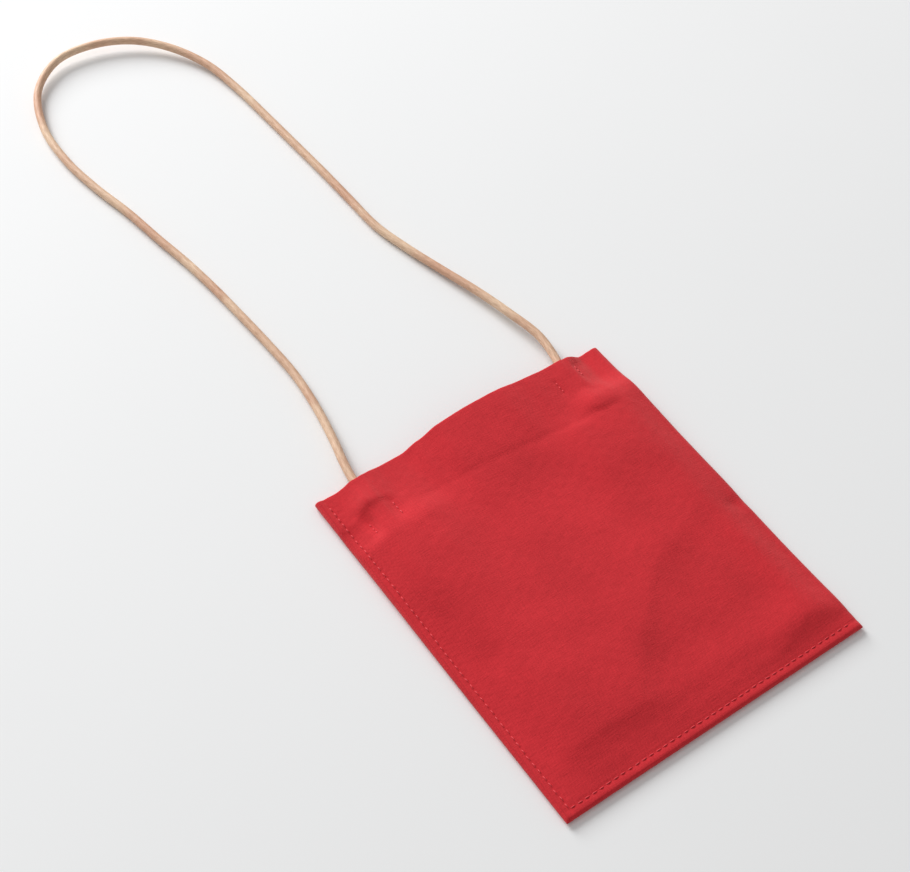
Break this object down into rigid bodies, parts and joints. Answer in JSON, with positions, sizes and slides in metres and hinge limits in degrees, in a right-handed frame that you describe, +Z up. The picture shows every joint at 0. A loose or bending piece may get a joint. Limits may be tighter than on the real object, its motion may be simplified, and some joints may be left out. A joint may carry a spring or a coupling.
{
  "type": "drawstring pouch",
  "caption": "Flat rectangular fabric pouch with a folded right side, sewn left side and bottom, a deep turned-in mouth and a long round leather cord strap looped from inside the mouth",
  "frame": {"origin": "on the surface that the pouch lies on, under the middle of the pouch, leaving out the cord", "axes": "+X from the sewn left side to the folded right side, +Y from the bottom seam to the mouth, +Z up from the surface, out of the front panel"},
  "size_m": [0.152, 0.4938, 0.0123],
  "materials": {
    "canvas": "plain weave cotton canvas, matte",
    "leather": "natural vegetable tanned round cord, undyed, slightly waxed"
  },
  "bodies": {
    "root": {"pouch_body": "canvas", "cord_loop_left": "canvas", "cord_loop_right": "canvas", "leather_cord": "leather", "cord_knot_left": "leather", "cord_knot_right": "leather"}
  },
  "joints": []
}
